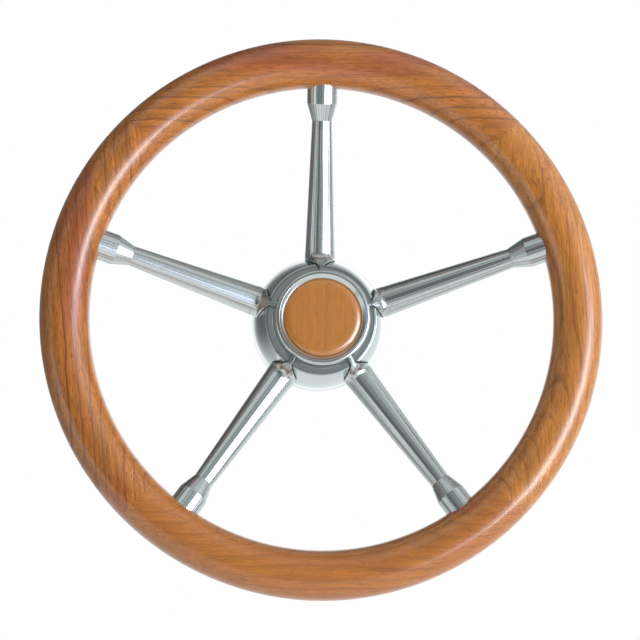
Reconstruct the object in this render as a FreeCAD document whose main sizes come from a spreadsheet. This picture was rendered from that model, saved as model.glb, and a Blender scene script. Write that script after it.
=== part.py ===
import FreeCAD, Part

import math
import os
import re

import Sketcher

os.makedirs("parts", exist_ok=True)
Vector = FreeCAD.Vector
doc = FreeCAD.newDocument("boat_steering_wheel")

# Frame: the wheel stands upright and turns about Y. Its front looks along -Y, and +Z is up.
# The origin is the centre of the hub's back face, where the helm shaft enters.
# Radii are measured from the wheel's axis, and depths backwards from the rim's middle plane.

# Driving dimensions, in millimetres and degrees

sheet = doc.addObject("Spreadsheet::Sheet", "Sizes")
SIZES = (
    ("rim_diameter", 400, "outside diameter of the wooden rim"),
    ("rim_section", 35.4, "diameter of the rim's round section"),
    ("dish_depth", 66, "from the rim's middle plane back to the hub's back face"),
    ("board_spline_length", 36, "length of the loose tongue across a rim joint"),
    ("board_spline_width", 18, "width of the loose tongue, front to back"),
    ("board_spline_thickness", 6, "thickness of the loose tongue"),
    ("glue_gap", 0.05, "gap on each side of a glued or threaded piece"),
    ("spoke_root_diameter", 22, "spoke where it enters the hub cover"),
    ("spoke_neck_diameter", 14.3, "spoke where it meets the ferrule"),
    ("spoke_edge", 0.4, "chamfer round the spoke's outer end"),
    ("tenon_diameter", 14, "tenon on the spoke's inner end"),
    ("tenon_length", 18, "length of the tenon"),
    ("root_end_radius", 38.6, "where the spoke's full root ends, on its axis"),
    ("root_end_depth", 43.1, "depth of the spoke's axis there"),
    ("ferrule_diameter", 22, "collar of the ferrule at the rim"),
    ("ferrule_small_diameter", 14.9, "small end of the ferrule's cone"),
    ("ferrule_cone", 12.4, "length of the ferrule's cone"),
    ("ferrule_collar", 16.4, "length of the ferrule's collar"),
    ("ferrule_seat", 11.5, "from the middle of the rim's section to the ferrule's seat"),
    ("stud_diameter", 8, "threaded stud between rim and spoke"),
    ("stud_in_rim", 17.5, "stud length in the wood"),
    ("stud_in_spoke", 14, "stud length in the spoke"),
    ("core_radius", 34.9, "outside of the hub core"),
    ("core_front_depth", 1.4, "front of the core's rounded ring"),
    ("core_round", 2.3, "rounding of the core's front ring"),
    ("core_waist_depth", 17, "where the core's ring reaches its full radius"),
    ("core_back_depth", 60, "back of the core's full radius"),
    ("core_draft", 0.8, "how much the core's ring narrows towards the front"),
    ("boss_radius", 24, "raised back face round the shaft"),
    ("cap_radius", 31.4, "outside of the cap"),
    ("cap_flange", 4.6, "thickness of the cap's outer flange"),
    ("cap_proud", 0.2, "how far the bezel stands in front of the core"),
    ("cap_plate", 2.5, "thickness of the cap's plate behind the wooden disc"),
    ("bezel_edge", 0.5, "flat top of the bezel"),
    ("bezel_drop", 3, "depth of the sloping bezel"),
    ("insert_radius", 27.6, "wooden disc"),
    ("insert_seat", 2, "height of the disc's straight side"),
    ("insert_round", 2.8, "width of the disc's rounded edge"),
    ("insert_rise", 1.5, "rise of the disc's rounded edge"),
    ("insert_dome", 0.5, "rise of the disc from its rounded edge to its middle"),
    ("skirt_radius", 28.9, "skirt of the cap inside the core"),
    ("skirt_wall", 2.4, "thickness of the cap's skirt"),
    ("skirt_length", 7, "length of the cap's skirt"),
    ("ring_section", 1.8, "rubber ring, pressed to this section"),
    ("running_gap", 0.1, "gap between pieces that slide together"),
    ("nut_recess_radius", 26, "recess for the shaft nut"),
    ("nut_recess_depth", 28, "floor of the nut recess"),
    ("shaft_diameter", 19.05, "large end of the shaft taper"),
    ("key_width", 4.76, "keyway in the taper bore"),
    ("key_height", 2.4, "depth of the keyway above the bore"),
    ("tongue_width", 4.2, "waist of the tongue between spoke and core"),
    ("tongue_seat", 1.7, "how deep the tongue stands in the core"),
    ("tongue_front_depth", 6, "front end of the tongue"),
    ("tongue_foot_depth", 36, "back edge of the tongue"),
    ("tongue_proud", 2, "how far the tongue stands in front of the cover's lip"),
    ("flare_start", 38.8, "radius where the tongue starts to flare"),
    ("flare_length", 12, "from there outwards to where the tongue has run into the spoke"),
    ("flare_sink", 0.4, "how deep the flare's end lies under the spoke's surface"),
    ("notch_gap", 0.3, "gap round the spoke in the hub cover"),
    ("cover_lip_radius", 40.4, "outside of the cover at its front lip"),
    ("cover_lip_depth", 22, "front of the cover's lip"),
    ("cover_back_radius", 49, "outside of the cover at its back edge"),
    ("cover_back_depth", 63.5, "back edge of the cover"),
    ("cover_bow", 2.2, "how far the cover's wall bows out between its lip and its back edge"),
    ("cover_wall", 2, "wall of the cover"),
    ("cover_flange_depth", 26, "front of the flange inside the cover"),
    ("cover_flange", 3, "thickness of the flange inside the cover"),
    ("screw_diameter", 6, "grub screw that locks a spoke"),
    ("screw_radius", 28, "distance of the grub screws from the axis"),
    ("screw_sunk", 0.6, "how far a grub screw lies below the core's back"),
    ("screw_flat", 0.8, "depth of the flat on the tenon under the screw"),
    ("hexagon_key", 3, "across the flats of the screw's socket"),
    ("hexagon_depth", 2.5, "depth of the screw's socket"),
)
for row, (name, number, note) in enumerate(SIZES, start=1):
    sheet.set(f"A{row}", name)
    sheet.set(f"B{row}", str(number))
    sheet.set(f"C{row}", note)
    sheet.setAlias(f"B{row}", name)
doc.recompute()

SPOKE_COUNT = 5
BOARDS = (("top", 90), ("left", 180), ("bottom", 270), ("right", 0))
SPOKE_ANGLES = [90 + 360 / SPOKE_COUNT * turn for turn in range(SPOKE_COUNT)]

# Lengths that follow from the driving dimensions

# The helm shaft's taper loses one part of diameter in so many parts of length
SHAFT_TAPER = 12

FORMULAS = {
    "rim_radius": "((rim_diameter - rim_section) / 2)",
    "spoke_slope": "(root_end_depth / (rim_radius - root_end_radius))",
    "spoke_tilt": "atan(spoke_slope)",
    "cone_start": "(ferrule_seat + ferrule_collar)",
    "neck_start": "(ferrule_seat + ferrule_collar + ferrule_cone)",
    "root_reach": "((rim_radius - root_end_radius) / cos(spoke_tilt))",
    "taper_reach": "((rim_radius - cover_back_radius + cover_wall) / cos(spoke_tilt))",
    "tenon_reach": "(root_reach + tenon_length)",
    "stud_hole": "(stud_diameter / 2 + glue_gap)",
    "cap_front_depth": "(core_front_depth - cap_proud)",
    "cap_seat_depth": "(cap_front_depth + cap_flange)",
    "insert_depth": "(cap_front_depth + bezel_drop)",
    "cap_bore": "(insert_radius + glue_gap)",
    "plate_back_depth": "(insert_depth + insert_seat + cap_plate)",
    "skirt_back_depth": "(plate_back_depth + skirt_length)",
    "skirt_bore": "(skirt_radius + running_gap)",
    "ring_depth": "(plate_back_depth + skirt_length / 2)",
    "taper_length": "(dish_depth - nut_recess_depth)",
    "taper_small": f"(shaft_diameter - taper_length / {SHAFT_TAPER})",
    "core_slot_radius": "(core_radius - tongue_seat)",
    "tongue_half": "(tongue_width / 2)",
    "lip_front": "(cover_lip_depth + cover_wall / 2)",
    "cover_inside": "(core_radius + running_gap)",
    "cover_run": "(cover_back_depth - lip_front)",
    "cover_rise": "(cover_back_radius - cover_lip_radius)",
    "cover_chord": "sqrt((cover_run ^ 2) + (cover_rise ^ 2))",
    "cover_arc": "((((cover_chord / 2) ^ 2) / cover_bow + cover_bow) / 2)",
    "cover_arc_inset": "((cover_arc - cover_bow) / cover_chord)",
    "cover_arc_radius": "((cover_lip_radius + cover_back_radius) / 2 - cover_arc_inset * cover_run)",
    "cover_arc_depth": "((lip_front + cover_back_depth) / 2 + cover_arc_inset * cover_rise)",
}


def formula(text):
    """Write the derived names out and point each size at its cell in the sheet."""
    sizes = {name for name, number, note in SIZES}

    def replace(match):
        word = match.group(0)
        if word in FORMULAS:
            return formula(FORMULAS[word])
        return f"Sizes.{word}" if word in sizes else word

    return re.sub(r"(?<![.\w])[a-z_]+", replace, text)


def size(text):
    return float(sheet.evalExpression(formula(text)))


def spoke_axis_depth(radius):
    """Depth of a spoke's axis at a radius: it passes through the middle of the rim's section."""
    return f"(rim_radius - ({radius})) * spoke_slope"


# Sketch and feature helpers

def new_body(name):
    body = doc.addObject("PartDesign::Body", name)
    body.Label = name
    return body


def origin_feature(body, role):
    return next(feature for feature in body.Origin.OriginFeatures if feature.Role == role)


def new_sketch(body, name, role="XY_Plane"):
    sketch = body.newObject("Sketcher::SketchObject", name)
    sketch.AttachmentSupport = [(origin_feature(body, role), "")]
    sketch.MapMode = "FlatFace"
    return sketch


def place_on_spoke(sketch, turn=0):
    """Lay a sketch along a spoke: its X axis runs from the middle of the rim's section towards the hub."""
    around = FreeCAD.Placement(Vector(), FreeCAD.Rotation(Vector(0, 1, 0), -turn))
    outwards = FreeCAD.Placement(Vector(size("rim_radius"), -size("dish_depth"), 0), FreeCAD.Rotation())
    inwards = FreeCAD.Placement(Vector(), FreeCAD.Rotation(Vector(0, 0, 1), 180 - size("spoke_tilt")))
    sketch.AttachmentOffset = around.multiply(outwards).multiply(inwards)


def pin(sketch, geometry, point, across, up):
    """Fix one point of a sketch to two formulas, measured from the sketch's origin."""
    for kind, text in (("DistanceX", across), ("DistanceY", up)):
        length = size(text)
        start, end = (-1, 1), (geometry, point)
        if length < 0:
            start, end, text = end, start, f"-({text})"
        number = sketch.addConstraint(Sketcher.Constraint(kind, *start, *end, abs(length)))
        sketch.setExpression(f"Constraints[{number}]", formula(text))


def outline(sketch, corners):
    """Draw a closed outline. A corner is (across, up), and a third value bends the line that follows it:
    an arc of that radius, which turns to the left when it is positive and to the right when negative."""
    places = [Vector(size(corner[0]), size(corner[1]), 0) for corner in corners]
    first = sketch.GeometryCount
    ends = []
    for index, corner in enumerate(corners):
        start, end = places[index], places[(index + 1) % len(places)]
        if len(corner) == 2:
            sketch.addGeometry(Part.LineSegment(start, end), False)
            ends.append((1, 2))
            continue
        radius = size(corner[2])
        middle, half = (start + end) / 2, (end - start).Length / 2
        left = Vector(-(end - start).y, (end - start).x, 0).normalize()
        side = 1 if radius > 0 else -1
        centre = middle + left * side * math.sqrt(max(radius ** 2 - half ** 2, 0))
        crest = centre - left * side * abs(radius)
        sketch.addGeometry(Part.Arc(start, crest, end), False)
        # A left-turning arc keeps its direction, and a right-turning one is stored end first
        ends.append((1, 2) if side > 0 else (2, 1))
    for index, corner in enumerate(corners):
        after = (index + 1) % len(corners)
        leaving, arriving = (first + index, ends[index][1]), (first + after, ends[after][0])
        joint = Sketcher.Constraint("Coincident", *leaving, *arriving)
        sketch.addConstraint(joint)
        pin(sketch, first + index, ends[index][0], corner[0], corner[1])
        if len(corner) == 3:
            number = sketch.addConstraint(Sketcher.Constraint("Radius", first + index, abs(size(corner[2]))))
            sketch.setExpression(f"Constraints[{number}]", formula(f"abs({corner[2]})"))


def ring_outline(sketch, corners):
    """An outline whose corners are (radius, depth), for turned pieces."""
    outline(sketch, [(corner[0], f"({corner[1]}) - dish_depth") + tuple(corner[2:]) for corner in corners])


def turned(body, name, sketch, axis="V_Axis", cut=False, angle=360):
    """Turn a sketch about one of its axes, into solid or out of it."""
    kind = "PartDesign::Groove" if cut else "PartDesign::Revolution"
    feature = body.newObject(kind, name)
    feature.Profile = (sketch, [""])
    feature.ReferenceAxis = (sketch, [axis])
    feature.Angle = angle
    feature.Midplane = angle < 360
    sketch.Visibility = False
    return feature


def around_axis(body, name, feature, count=SPOKE_COUNT):
    """Repeat a feature evenly round the wheel's axis."""
    pattern = body.newObject("PartDesign::PolarPattern", name)
    pattern.Originals = [feature]
    pattern.Axis = (origin_feature(body, "Y_Axis"), [""])
    pattern.Angle = 360
    pattern.Occurrences = count
    body.Tip = pattern
    return pattern


def facing(angle):
    """Turn a piece that was drawn along +X to an angle in the wheel's plane, counted from +X towards +Z."""
    return FreeCAD.Placement(Vector(), FreeCAD.Rotation(Vector(0, 1, 0), -angle))


# Wooden rim: four boards, a quarter each, with a glued tongue across each joint

def make_board(name, middle):
    body = new_body(name)
    section = new_sketch(body, f"{name}_section")
    centre = Vector(size("rim_radius"), -size("dish_depth"), 0)
    circle = Part.Circle(centre, Vector(0, 0, 1), size("rim_section / 2"))
    section.addGeometry(circle, False)
    pin(section, 0, 3, "rim_radius", "-dish_depth")
    number = section.addConstraint(Sketcher.Constraint("Radius", 0, size("rim_section / 2")))
    section.setExpression(f"Constraints[{number}]", formula("rim_section / 2"))
    turned(body, f"{name}_quarter", section, angle=360 / len(BOARDS))
    for index, angle in enumerate(SPOKE_ANGLES):
        turn = (angle - middle + 180) % 360 - 180
        if abs(turn) > 180 / len(BOARDS):
            continue
        socket = new_sketch(body, f"{name}_socket_{index + 1}")
        place_on_spoke(socket, turn)
        outline(socket, (
            ("-(stud_in_rim - ferrule_seat + glue_gap)", "0"),
            ("rim_section", "0"),
            ("rim_section", "ferrule_diameter / 2 + glue_gap"),
            ("ferrule_seat", "ferrule_diameter / 2 + glue_gap"),
            ("ferrule_seat", "stud_hole"),
            ("-(stud_in_rim - ferrule_seat + glue_gap)", "stud_hole"),
        ))
        turned(body, f"{name}_socket_cut_{index + 1}", socket, axis="H_Axis", cut=True)
    for side in (-1, 1):
        slot = body.newObject("PartDesign::SubtractiveBox", f"{name}_slot_{'after' if side > 0 else 'before'}")
        spline_box(slot, "glue_gap")
        slot.Placement = facing(side * 180 / len(BOARDS)).multiply(slot.Placement)
    body.Placement = facing(middle)
    return body


def spline_box(box, gap):
    """The loose tongue crosses the joint on +X, thin across the rim's radius and wide from front to back."""
    sizes = ("board_spline_thickness", "board_spline_width", "board_spline_length")
    for side, name in zip(("Length", "Width", "Height"), sizes):
        box.setExpression(side, formula(f"{name} + 2 * {gap}"))
    thickness, width, length = (size(f"{name} + 2 * {gap}") for name in sizes)
    corner = Vector(size("rim_radius") - thickness / 2, -size("dish_depth") - width / 2, -length / 2)
    box.Placement = FreeCAD.Placement(corner, FreeCAD.Rotation())


def make_spline(number, angle):
    box = doc.addObject("Part::Box", f"rim_spline_{number}")
    spline_box(box, "0")
    box.Placement = facing(angle).multiply(box.Placement)
    return box


# Ferrule and stud at the rim

def make_ferrule(number, angle):
    name = f"rim_ferrule_{number}"
    body = new_body(name)
    profile = new_sketch(body, f"{name}_profile")
    place_on_spoke(profile)
    outline(profile, (
        ("ferrule_seat", "stud_hole"),
        ("neck_start", "stud_hole"),
        ("neck_start", "ferrule_small_diameter / 2"),
        ("cone_start", "ferrule_diameter / 2"),
        ("ferrule_seat", "ferrule_diameter / 2"),
    ))
    turned(body, f"{name}_turned", profile, axis="H_Axis")
    body.Placement = facing(angle)
    return body


def make_stud(number, angle):
    name = f"rim_stud_{number}"
    body = new_body(name)
    profile = new_sketch(body, f"{name}_profile")
    place_on_spoke(profile)
    edge = "stud_diameter / 10"
    outline(profile, (
        ("ferrule_seat - stud_in_rim", "0"),
        ("neck_start + stud_in_spoke", "0"),
        ("neck_start + stud_in_spoke", f"stud_diameter / 2 - {edge}"),
        (f"neck_start + stud_in_spoke - {edge}", "stud_diameter / 2"),
        (f"ferrule_seat - stud_in_rim + {edge}", "stud_diameter / 2"),
        ("ferrule_seat - stud_in_rim", f"stud_diameter / 2 - {edge}"),
    ))
    turned(body, f"{name}_turned", profile, axis="H_Axis")
    body.Placement = facing(angle)
    return body


# Spoke: a long taper, a tenon in the core, and a flat tongue that flares out into the spoke's root

# Where the flare is drawn, as (share of its length, how far it has widened from the tongue to the spoke)
FLARE_SECTIONS = ((0, 0), (0.15, 0.32), (0.3, 0.64), (0.45, 0.96), (0.7, 0.92), (1, 0.88))
# How steeply the tongue's front falls back where it starts to flare
FLARE_SLOPE = 1.5
# How round the flare's shoulders are, with 1 for the roundness of the spoke itself
SHOULDER_ROUNDNESS = 0.85


def flare_sections():
    """Sections of the flare as (radius, depth of its front, half width, drop of its round shoulders)."""
    root = "(spoke_root_diameter / 2)"
    tip = "(cover_lip_depth - tongue_proud)"
    end = "(flare_start + flare_length)"
    end_front = f"({spoke_axis_depth(end)} - {root} / cos(spoke_tilt) + flare_sink)"
    sections = []
    for share, widening in FLARE_SECTIONS:
        radius = f"(flare_start + flare_length * {share})"
        # The front follows a cubic curve that leaves the tongue steeply and meets the spoke along its surface
        front = (f"({tip} * {(1 + 2 * share) * (1 - share) ** 2}"
                 f" + {end_front} * {(3 - 2 * share) * share ** 2}"
                 f" + flare_length * ({FLARE_SLOPE * share * (1 - share) ** 2}"
                 f" + spoke_slope * {share ** 2 * (1 - share)}))")
        half = f"(tongue_half + ({root} - tongue_half) * {widening})"
        sections.append((radius, front, half, f"({SHOULDER_ROUNDNESS} * {half} ^ 2 / {root})"))
    return sections


def make_spoke(name, angle, gap="0"):
    """A spoke, or with a gap the room that the hub cover leaves for it."""
    body = new_body(name)
    shaft = new_sketch(body, f"{name}_profile")
    place_on_spoke(shaft)
    outline(shaft, (
        ("neck_start", "stud_hole"),
        ("neck_start", "spoke_neck_diameter / 2 - spoke_edge"),
        ("neck_start + spoke_edge", f"spoke_neck_diameter / 2 + {gap}"),
        ("taper_reach", f"spoke_root_diameter / 2 + {gap}"),
        ("root_reach", f"spoke_root_diameter / 2 + {gap}"),
        ("root_reach", "tenon_diameter / 2"),
        ("tenon_reach", "tenon_diameter / 2"),
        ("tenon_reach", "0"),
        ("neck_start + stud_in_spoke + glue_gap", "0"),
        ("neck_start + stud_in_spoke + glue_gap", "stud_hole"),
    ))
    turned(body, f"{name}_turned", shaft, axis="H_Axis")

    side_view = new_sketch(body, f"{name}_tongue_side")
    ring_outline(side_view, (
        ("core_slot_radius", f"tongue_front_depth - {gap}"),
        ("flare_start", f"cover_lip_depth - tongue_proud - {gap}"),
        ("flare_start", "cover_lip_depth"),
        ("flare_start + tongue_half", "tongue_foot_depth"),
        ("core_slot_radius", "tongue_foot_depth"),
    ))
    tongue = body.newObject("PartDesign::Pad", f"{name}_tongue")
    tongue.Profile = (side_view, [""])
    tongue.SideType = "Symmetric"
    tongue.setExpression("Length", formula(f"tongue_width + 2 * {gap}"))
    side_view.Visibility = False

    sections = []
    for index, (radius, depth, half, drop) in enumerate(flare_sections()):
        section = new_sketch(body, f"{name}_section_{index}", "YZ_Plane")
        section.AttachmentOffset = FreeCAD.Placement(Vector(0, 0, size(radius)), FreeCAD.Rotation())
        section.setExpression("AttachmentOffset.Base.z", formula(radius))
        front = f"({depth}) - ({gap}) - dish_depth"
        foot = f"{spoke_axis_depth(radius)} - dish_depth"
        side = f"({half} + {gap})"
        bow = f"(({drop}) / 2 + {side} ^ 2 / (2 * ({drop})))"
        outline(section, (
            (foot, side),
            (f"{front} + {drop}", side, bow),
            (f"{front} + {drop}", f"-{side}"),
            (foot, f"-{side}"),
        ))
        sections.append(section)
    flare = body.newObject("PartDesign::AdditiveLoft", f"{name}_flare")
    flare.Profile = (sections[0], [""])
    flare.Sections = [(section, [""]) for section in sections[1:]]
    body.Placement = facing(angle)
    return body


def add_screw_flat(body, name):
    """Flat on the back of the tenon, square to the grub screw that presses on it."""
    flat = body.newObject("PartDesign::SubtractiveBox", f"{name}_flat")
    reach = "(screw_diameter + screw_flat)"
    for side in ("Length", "Width", "Height"):
        flat.setExpression(side, formula(reach))
    corner = Vector(size(f"screw_radius - ({reach}) / 2"), size(f"{screw_tip_depth()} - dish_depth"),
                    -size(reach) / 2)
    flat.Placement = FreeCAD.Placement(corner, FreeCAD.Rotation())
    body.Tip = flat


def screw_tip_depth():
    return f"({spoke_axis_depth('screw_radius')} + tenon_diameter / 2 / cos(spoke_tilt) - screw_flat)"


# Hub core: boss, nut recess, taper bore and the rounded ring round the cap

def make_core():
    body = new_body("hub_core")
    profile = new_sketch(body, "core_profile")
    recess_step = "skirt_back_depth + skirt_wall / 4"
    ring_outline(profile, (
        ("core_radius - core_draft - core_round", "core_front_depth", "core_round"),
        ("core_radius - core_draft", "core_front_depth + core_round"),
        ("core_radius", "core_waist_depth"),
        ("core_radius", "core_back_depth"),
        ("boss_radius", "core_back_depth"),
        ("boss_radius", "dish_depth"),
        ("shaft_diameter / 2", "dish_depth"),
        ("taper_small / 2", "nut_recess_depth"),
        ("nut_recess_radius", "nut_recess_depth"),
        ("nut_recess_radius", recess_step),
        ("skirt_bore", recess_step),
        ("skirt_bore", "cap_seat_depth"),
        ("cap_radius + running_gap", "cap_seat_depth"),
        ("cap_radius + running_gap", "core_front_depth"),
    ))
    turned(body, "core_turned", profile)

    keyway = body.newObject("PartDesign::SubtractiveBox", "keyway")
    keyway.setExpression("Length", formula("(shaft_diameter + taper_small) / 4 + key_height"))
    keyway.setExpression("Width", formula("taper_length"))
    keyway.setExpression("Height", formula("key_width"))
    corner = Vector(0, -size("taper_length"), -size("key_width / 2"))
    keyway.Placement = FreeCAD.Placement(corner, FreeCAD.Rotation())

    socket = new_sketch(body, "tenon_socket_profile")
    place_on_spoke(socket)
    outline(socket, (
        ("root_reach", "0"),
        ("tenon_reach + running_gap", "0"),
        ("tenon_reach + running_gap", "tenon_diameter / 2 + running_gap"),
        ("root_reach", "tenon_diameter / 2 + running_gap"),
    ))
    around_axis(body, "tenon_sockets", turned(body, "tenon_socket", socket, axis="H_Axis", cut=True))

    slot = body.newObject("PartDesign::SubtractiveBox", "tongue_slot")
    half, front, back = "tongue_half + running_gap", "tongue_front_depth - running_gap", "tongue_foot_depth"
    slot.setExpression("Length", formula("tongue_seat * 2"))
    slot.setExpression("Width", formula(f"{back} + running_gap - ({front})"))
    slot.setExpression("Height", formula(f"2 * ({half})"))
    corner = Vector(size("core_slot_radius"), size(f"{front} - dish_depth"), -size(half))
    slot.Placement = FreeCAD.Placement(corner, FreeCAD.Rotation())
    around_axis(body, "tongue_slots", slot)

    screw_hole = body.newObject("PartDesign::SubtractiveCylinder", "screw_hole")
    screw_hole.setExpression("Radius", formula("screw_diameter / 2 + glue_gap"))
    screw_hole.setExpression("Height", formula(f"core_back_depth - {screw_tip_depth()} + screw_flat"))
    mouth = Vector(size("screw_radius"), size("core_back_depth - dish_depth"), 0)
    screw_hole.Placement = FreeCAD.Placement(mouth, FreeCAD.Rotation(Vector(1, 0, 0), 90))
    around_axis(body, "screw_holes", screw_hole)
    body.Placement = facing(SPOKE_ANGLES[0])
    return body


# Hub cover: a bell whose front lip and flange are slotted for the tongues, with a hole for each spoke

def make_cover():
    shell = new_body("hub_cover_shell")
    profile = new_sketch(shell, "cover_profile")
    flange_back = "(cover_flange_depth + cover_flange)"

    def inside(depth):
        return f"cover_arc_radius + sqrt((cover_arc - cover_wall) ^ 2 - ({depth} - cover_arc_depth) ^ 2)"

    ring_outline(profile, (
        ("cover_lip_radius - cover_wall", "lip_front", "cover_wall * 0.55"),
        ("cover_lip_radius", "lip_front", "cover_arc"),
        ("cover_back_radius", "cover_back_depth"),
        (inside("cover_back_depth"), "cover_back_depth", "-(cover_arc - cover_wall)"),
        (inside(flange_back), flange_back),
        ("cover_inside", flange_back),
        ("cover_inside", "cover_flange_depth"),
        ("cover_lip_radius - cover_wall", "cover_flange_depth"),
    ))
    turned(shell, "cover_turned", profile)
    result = shell
    for number, angle in enumerate(SPOKE_ANGLES, start=1):
        cut = doc.addObject("Part::Cut", f"cover_notched_{number}")
        cut.Base = result
        cut.Tool = make_spoke(f"spoke_room_{number}", angle, gap="notch_gap")
        result = cut
    result.Label = "hub_cover"
    return result


# Cap: turned bezel with a skirt and a rubber ring, and a domed wooden disc

def make_cap():
    body = new_body("cap_body")
    profile = new_sketch(body, "cap_profile")
    seat = "insert_depth + insert_seat"
    groove = "skirt_bore - ring_section"
    ring_outline(profile, (
        ("0", seat),
        ("cap_bore", seat),
        ("cap_bore", "insert_depth"),
        ("cap_radius - bezel_edge", "cap_front_depth"),
        ("cap_radius", "cap_front_depth"),
        ("cap_radius", "cap_seat_depth"),
        ("skirt_radius", "cap_seat_depth"),
        ("skirt_radius", "ring_depth - ring_section / 2"),
        (groove, "ring_depth - ring_section / 2"),
        (groove, "ring_depth + ring_section / 2"),
        ("skirt_radius", "ring_depth + ring_section / 2"),
        ("skirt_radius", "skirt_back_depth"),
        ("skirt_radius - skirt_wall", "skirt_back_depth"),
        ("skirt_radius - skirt_wall", "plate_back_depth"),
        ("0", "plate_back_depth"),
    ))
    turned(body, "cap_turned", profile)
    return body


def make_o_ring():
    ring = doc.addObject("Part::Torus", "cap_o_ring")
    ring.setExpression("Radius1", formula("skirt_bore - ring_section / 2"))
    ring.setExpression("Radius2", formula("ring_section / 2 - glue_gap"))
    ring.Placement = FreeCAD.Placement(Vector(0, size("ring_depth - dish_depth"), 0),
                                       FreeCAD.Rotation(Vector(1, 0, 0), 90))
    return ring


def make_insert():
    body = new_body("cap_insert")
    profile = new_sketch(body, "insert_profile")
    flat_radius = "insert_radius - insert_round"
    bow = "({0} ^ 2 + {1} ^ 2) / (2 * {1})"
    ring_outline(profile, (
        ("0", "insert_depth - insert_rise - insert_dome", bow.format(f"({flat_radius})", "insert_dome")),
        (flat_radius, "insert_depth - insert_rise", bow.format("insert_round", "insert_rise")),
        ("insert_radius", "insert_depth"),
        ("insert_radius", "insert_depth + insert_seat"),
        ("0", "insert_depth + insert_seat"),
    ))
    turned(body, "insert_turned", profile)
    return body


# Grub screws that lock the tenons, one group of five

def make_screws():
    screws = []
    tip = f"{screw_tip_depth()} + glue_gap"
    back = "core_back_depth - screw_sunk"
    for number, angle in enumerate(SPOKE_ANGLES, start=1):
        shank = doc.addObject("Part::Cylinder", f"screw_shank_{number}")
        shank.setExpression("Radius", formula("screw_diameter / 2"))
        shank.setExpression("Height", formula(f"{back} - ({tip})"))
        socket = doc.addObject("Part::Prism", f"screw_socket_{number}")
        socket.Polygon = 6
        socket.setExpression("Circumradius", formula("hexagon_key / 2 / cos(30)"))
        socket.setExpression("Height", formula("hexagon_depth"))
        for piece in (shank, socket):
            mouth = Vector(size("screw_radius"), size(f"{back} - dish_depth"), 0)
            forwards = FreeCAD.Placement(mouth, FreeCAD.Rotation(Vector(1, 0, 0), 90))
            piece.Placement = facing(angle).multiply(forwards)
        screw = doc.addObject("Part::Cut", f"screw_{number}")
        screw.Base = shank
        screw.Tool = socket
        screws.append(screw)
    group = doc.addObject("Part::Compound", "spoke_lock_screws")
    group.Links = screws
    return group


nodes = [make_board(f"rim_board_{side}", angle) for side, angle in BOARDS]
for number, (side, angle) in enumerate(BOARDS, start=1):
    nodes.append(make_spline(number, angle + 180 / len(BOARDS)))
for number, angle in enumerate(SPOKE_ANGLES, start=1):
    spoke = make_spoke(f"spoke_{number}", angle)
    add_screw_flat(spoke, f"spoke_{number}")
    nodes.append(spoke)
    nodes.append(make_ferrule(number, angle))
    nodes.append(make_stud(number, angle))
nodes += [make_core(), make_cover(), make_cap(), make_o_ring(), make_insert(), make_screws()]

doc.recompute()
for item in doc.Objects:
    if "Invalid" in item.State or "Error" in item.State:
        raise RuntimeError(f"{item.Label} failed: {item.State}")
for node in nodes:
    if node.Shape.isNull() or not node.Shape.isValid():
        raise RuntimeError(f"{node.Label} has no valid shape")
for node in nodes:
    node.Shape.exportStep(f"parts/{node.Label}.step")
    print(node.Label, len(node.Shape.Solids), round(node.Shape.Volume, 1))
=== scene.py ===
import math
from typing import NamedTuple

import bmesh
import bpy
from mathutils import Matrix, Vector


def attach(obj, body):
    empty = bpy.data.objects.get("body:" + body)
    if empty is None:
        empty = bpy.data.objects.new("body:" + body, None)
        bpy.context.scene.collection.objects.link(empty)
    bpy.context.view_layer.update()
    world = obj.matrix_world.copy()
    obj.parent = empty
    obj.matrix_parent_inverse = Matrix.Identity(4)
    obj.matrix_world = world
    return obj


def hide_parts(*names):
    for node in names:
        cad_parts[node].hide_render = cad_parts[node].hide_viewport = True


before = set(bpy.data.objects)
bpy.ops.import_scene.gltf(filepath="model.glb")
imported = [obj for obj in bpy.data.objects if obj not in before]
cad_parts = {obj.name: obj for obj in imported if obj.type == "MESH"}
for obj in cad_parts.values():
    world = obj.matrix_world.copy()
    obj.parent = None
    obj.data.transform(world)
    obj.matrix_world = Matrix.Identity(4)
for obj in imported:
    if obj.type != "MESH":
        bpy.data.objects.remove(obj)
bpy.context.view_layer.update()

bl_info = {
    "name": "Boat steering wheel",
    "version": (1, 0, 0),
    "blender": (4, 5, 0),
    "location": "3D View > Sidebar > Boat Wheel",
    "description": "Builds a dished boat steering wheel with a varnished wooden rim and stainless spokes",
    "category": "Mesh",
}

# Frame: the wheel stands upright and turns about Y. Its front looks along -Y, and +Z is up.
# The origin is the centre of the hub's back face. Depths are measured backwards from the rim's middle plane.

SPOKES = 5
BOARDS = ("top", "left", "bottom", "right")
ON_WHEEL_AXIS = Matrix.Rotation(math.radians(-90), 4, "X")

# Facets round spokes and ferrules, and round the wider cap
ROUND_STEPS = 96
CAP_STEPS = 128
# Steps along a spoke's taper, the disc's rounded edge, the tongue and the flare
TAPER_STEPS = 24
ROUNDING_STEPS = 12
TONGUE_STEPS = 5
FLARE_STEPS = 28
# Corners in each cross-section of tongue and flare
FLARE_CORNERS = 64
# Corners closer than this many metres are one corner, and edges that turn by more than this are rounded
SAME_PLACE = 1e-7
SHARP_EDGE = math.radians(6)

# Sizes in millimetres that set how the wheel is dished
RIM_RADIUS = 182.3
ROOT_END_RADIUS = 38.6
ROOT_END_DEPTH = 43.1


# Sizes and colours that a user would change

def linear(hex_colour):
    """An sRGB hex colour as linear red, green, blue and alpha."""
    channels = [int(hex_colour[place:place + 2], 16) / 255 for place in (0, 2, 4)]
    return tuple((c / 12.92 if c <= 0.04045 else ((c + 0.055) / 1.055) ** 2.4) for c in channels) + (1,)


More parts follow.
